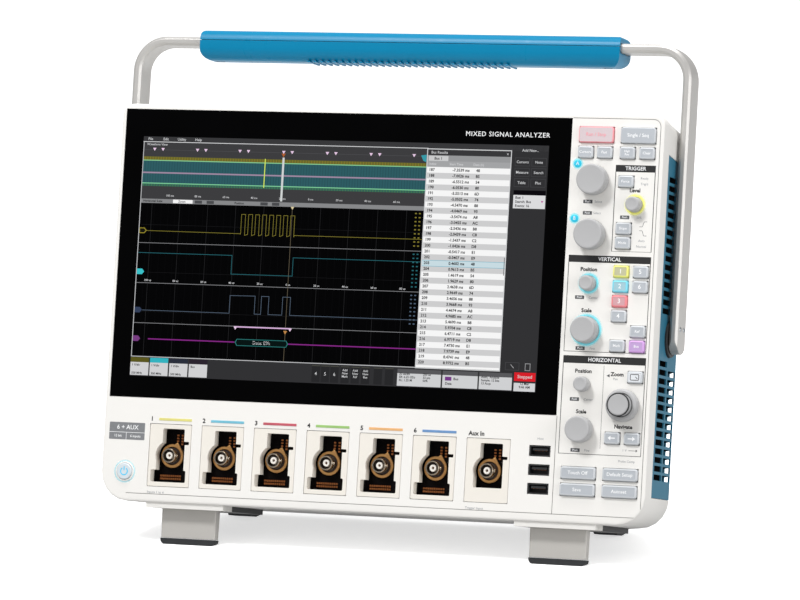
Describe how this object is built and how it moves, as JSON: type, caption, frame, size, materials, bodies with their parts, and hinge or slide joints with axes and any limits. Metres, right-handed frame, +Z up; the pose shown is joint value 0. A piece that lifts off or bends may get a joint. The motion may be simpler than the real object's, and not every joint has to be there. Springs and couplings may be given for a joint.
{
  "type": "logic analyzer",
  "caption": "Bench mixed-signal analyzer with wide touch screen, keyed probe inputs, keys and knobs, carrying handle and fold-out front legs.",
  "frame": {"origin": "centre of the bounding box's footprint, on the surface that the instrument stands on", "axes": "+X to the viewer's right along the width, +Y from the screen to the back, +Z up"},
  "size_m": [0.4054, 0.1812, 0.3448],
  "materials": {
    "casing": "fine satin moulded plastic",
    "key": "satin moulded keys with printed legends",
    "lit_key": "satin key with a lit red edge",
    "knob": "satin moulded plastic",
    "grip": "satin blue moulded plastic",
    "handle_bar": "satin anodised",
    "dark_plastic": "fine moulded",
    "rubber": "matte",
    "leg": "satin moulded plastic",
    "vent": "satin blue moulded plastic",
    "glass": "black gloss cover glass",
    "sheet_metal": "zinc-plated sheet",
    "circuit_board": "solder-masked board",
    "connector_metal": "gold-plated contacts in a moulded block"
  },
  "bodies": {
    "case": {"front_casing": "casing", "rear_casing": "casing", "display_glass": "glass", "lcd_module": "sheet_metal", "input_connectors": "connector_metal", "front_panel_board": "circuit_board", "chassis": "sheet_metal", "main_board": "circuit_board", "power_supply": "sheet_metal", "fan_housing": "dark_plastic", "rear_panel": "sheet_metal", "power_inlet": "dark_plastic", "vent_left": "vent", "vent_right": "vent", "rear_foot_left": "rubber", "rear_foot_right": "rubber"},
    "handle": {"handle_frame": "handle_bar", "handle_grip": "grip", "handle_hub_left": "dark_plastic", "handle_hub_right": "dark_plastic"},
    "leg_left": {"leg_left": "leg", "leg_tip_left": "rubber"},
    "leg_right": {"leg_right": "leg", "leg_tip_right": "rubber"},
    "fan": {"fan_rotor": "dark_plastic"},
    "run_stop": {"run_stop": "lit_key"},
    "single": {"single": "key"},
    "cursors": {"cursors": "key"},
    "fast_acq": {"fast_acq": "key"},
    "high_res": {"high_res": "key"},
    "clear": {"clear": "key"},
    "force": {"force": "key"},
    "slope": {"slope": "key"},
    "mode": {"mode": "key"},
    "channel_1": {"channel_1": "key"},
    "channel_5": {"channel_5": "key"},
    "channel_2": {"channel_2": "key"},
    "channel_6": {"channel_6": "key"},
    "channel_3": {"channel_3": "key"},
    "channel_4": {"channel_4": "key"},
    "ref": {"ref": "key"},
    "math": {"math": "key"},
    "bus": {"bus": "key"},
    "zoom": {"zoom": "key"},
    "navigate_left": {"navigate_left": "key"},
    "navigate_right": {"navigate_right": "key"},
    "touch_off": {"touch_off": "key"},
    "default_setup": {"default_setup": "key"},
    "save": {"save": "key"},
    "autoset": {"autoset": "key"},
    "power": {"power": "key"},
    "knob_a": {"knob_a": "knob"},
    "knob_b": {"knob_b": "knob"},
    "trigger_level": {"trigger_level": "knob"},
    "vertical_position": {"vertical_position": "knob"},
    "vertical_scale": {"vertical_scale": "knob"},
    "horizontal_position": {"horizontal_position": "knob"},
    "horizontal_scale": {"horizontal_scale": "knob"},
    "zoom_knob": {"zoom_knob": "knob"},
    "pan_ring": {"pan_ring": "knob"}
  },
  "joints": [
    {"name": "handle_turn", "type": "hinge", "parent": "case", "child": "handle", "pos_m": [0, -0.02545, 0.14558], "axis": [-1, 0, 0], "range_deg": [0, 90]},
    {"name": "leg_fold_left", "type": "hinge", "parent": "case", "child": "leg_left", "pos_m": [-0.133, -0.07581, 0.0289], "axis": [1, 0, 0], "range_deg": [0, 90]},
    {"name": "leg_fold_right", "type": "hinge", "parent": "case", "child": "leg_right", "pos_m": [0.133, -0.07581, 0.0289], "axis": [1, 0, 0], "range_deg": [0, 90]},
    {"name": "fan_spin", "type": "hinge", "parent": "case", "child": "fan", "pos_m": [-0.1455, 0.00576, 0.14814], "axis": [1, 0, 0], "continuous": true},
    {"name": "press_run_stop", "type": "slide", "parent": "case", "child": "run_stop", "axis": [0, 0.9781, -0.2079], "range_m": [0, 0.0008], "stiffness_N_per_m": 800},
    {"name": "press_single", "type": "slide", "parent": "case", "child": "single", "axis": [0, 0.9781, -0.2079], "range_m": [0, 0.0008], "stiffness_N_per_m": 800},
    {"name": "press_cursors", "type": "slide", "parent": "case", "child": "cursors", "axis": [0, 0.9781, -0.2079], "range_m": [0, 0.0008], "stiffness_N_per_m": 800},
    {"name": "press_fast_acq", "type": "slide", "parent": "case", "child": "fast_acq", "axis": [0, 0.9781, -0.2079], "range_m": [0, 0.0008], "stiffness_N_per_m": 800},
    {"name": "press_high_res", "type": "slide", "parent": "case", "child": "high_res", "axis": [0, 0.9781, -0.2079], "range_m": [0, 0.0008], "stiffness_N_per_m": 800},
    {"name": "press_clear", "type": "slide", "parent": "case", "child": "clear", "axis": [0, 0.9781, -0.2079], "range_m": [0, 0.0008], "stiffness_N_per_m": 800},
    {"name": "press_force", "type": "slide", "parent": "case", "child": "force", "axis": [0, 0.9781, -0.2079], "range_m": [0, 0.0008], "stiffness_N_per_m": 800},
    {"name": "press_slope", "type": "slide", "parent": "case", "child": "slope", "axis": [0, 0.9781, -0.2079], "range_m": [0, 0.0008], "stiffness_N_per_m": 800},
    {"name": "press_mode", "type": "slide", "parent": "case", "child": "mode", "axis": [0, 0.9781, -0.2079], "range_m": [0, 0.0008], "stiffness_N_per_m": 800},
    {"name": "press_channel_1", "type": "slide", "parent": "case", "child": "channel_1", "axis": [0, 0.9781, -0.2079], "range_m": [0, 0.0008], "stiffness_N_per_m": 800},
    {"name": "press_channel_5", "type": "slide", "parent": "case", "child": "channel_5", "axis": [0, 0.9781, -0.2079], "range_m": [0, 0.0008], "stiffness_N_per_m": 800},
    {"name": "press_channel_2", "type": "slide", "parent": "case", "child": "channel_2", "axis": [0, 0.9781, -0.2079], "range_m": [0, 0.0008], "stiffness_N_per_m": 800},
    {"name": "press_channel_6", "type": "slide", "parent": "case", "child": "channel_6", "axis": [0, 0.9781, -0.2079], "range_m": [0, 0.0008], "stiffness_N_per_m": 800},
    {"name": "press_channel_3", "type": "slide", "parent": "case", "child": "channel_3", "axis": [0, 0.9781, -0.2079], "range_m": [0, 0.0008], "stiffness_N_per_m": 800},
    {"name": "press_channel_4", "type": "slide", "parent": "case", "child": "channel_4", "axis": [0, 0.9781, -0.2079], "range_m": [0, 0.0008], "stiffness_N_per_m": 800},
    {"name": "press_ref", "type": "slide", "parent": "case", "child": "ref", "axis": [0, 0.9781, -0.2079], "range_m": [0, 0.0008], "stiffness_N_per_m": 800},
    {"name": "press_math", "type": "slide", "parent": "case", "child": "math", "axis": [0, 0.9781, -0.2079], "range_m": [0, 0.0008], "stiffness_N_per_m": 800},
    {"name": "press_bus", "type": "slide", "parent": "case", "child": "bus", "axis": [0, 0.9781, -0.2079], "range_m": [0, 0.0008], "stiffness_N_per_m": 800},
    {"name": "press_zoom", "type": "slide", "parent": "case", "child": "zoom", "axis": [0, 0.9781, -0.2079], "range_m": [0, 0.0008], "stiffness_N_per_m": 800},
    {"name": "press_navigate_left", "type": "slide", "parent": "case", "child": "navigate_left", "axis": [0, 0.9781, -0.2079], "range_m": [0, 0.0008], "stiffness_N_per_m": 800},
    {"name": "press_navigate_right", "type": "slide", "parent": "case", "child": "navigate_right", "axis": [0, 0.9781, -0.2079], "range_m": [0, 0.0008], "stiffness_N_per_m": 800},
    {"name": "press_touch_off", "type": "slide", "parent": "case", "child": "touch_off", "axis": [0, 0.9781, -0.2079], "range_m": [0, 0.0008], "stiffness_N_per_m": 800},
    {"name": "press_default_setup", "type": "slide", "parent": "case", "child": "default_setup", "axis": [0, 0.9781, -0.2079], "range_m": [0, 0.0008], "stiffness_N_per_m": 800},
    {"name": "press_save", "type": "slide", "parent": "case", "child": "save", "axis": [0, 0.9781, -0.2079], "range_m": [0, 0.0008], "stiffness_N_per_m": 800},
    {"name": "press_autoset", "type": "slide", "parent": "case", "child": "autoset", "axis": [0, 0.9781, -0.2079], "range_m": [0, 0.0008], "stiffness_N_per_m": 800},
    {"name": "press_power", "type": "slide", "parent": "case", "child": "power", "axis": [0, 0.9781, -0.2079], "range_m": [0, 0.0008], "stiffness_N_per_m": 800},
    {"name": "turn_knob_a", "type": "hinge", "parent": "case", "child": "knob_a", "pos_m": [0.1484, -0.04339, 0.25357], "axis": [0, 0.9781, -0.2079], "continuous": true},
    {"name": "turn_knob_b", "type": "hinge", "parent": "case", "child": "knob_b", "pos_m": [0.1484, -0.05098, 0.21787], "axis": [0, 0.9781, -0.2079], "continuous": true},
    {"name": "turn_trigger_level", "type": "hinge", "parent": "case", "child": "trigger_level", "pos_m": [0.1776, -0.04666, 0.23821], "axis": [0, 0.9781, -0.2079], "continuous": true},
    {"name": "turn_vertical_position", "type": "hinge", "parent": "case", "child": "vertical_position", "pos_m": [0.1484, -0.05774, 0.18607], "axis": [0, 0.9781, -0.2079], "continuous": true},
    {"name": "turn_vertical_scale", "type": "hinge", "parent": "case", "child": "vertical_scale", "pos_m": [0.1484, -0.0642, 0.15565], "axis": [0, 0.9781, -0.2079], "continuous": true},
    {"name": "turn_horizontal_position", "type": "hinge", "parent": "case", "child": "horizontal_position", "pos_m": [0.1484, -0.07173, 0.12025], "axis": [0, 0.9781, -0.2079], "continuous": true},
    {"name": "turn_horizontal_scale", "type": "hinge", "parent": "case", "child": "horizontal_scale", "pos_m": [0.1484, -0.07799, 0.0908], "axis": [0, 0.9781, -0.2079], "continuous": true},
    {"name": "turn_zoom_knob", "type": "hinge", "parent": "case", "child": "zoom_knob", "pos_m": [0.1772, -0.07444, 0.10753], "axis": [0, 0.9781, -0.2079], "continuous": true},
    {"name": "turn_pan_ring", "type": "hinge", "parent": "case", "child": "pan_ring", "pos_m": [0.1772, -0.07444, 0.10753], "axis": [0, 0.9781, -0.2079], "range_deg": [-55, 55], "stiffness_Nm_per_rad": 0.05}
  ]
}
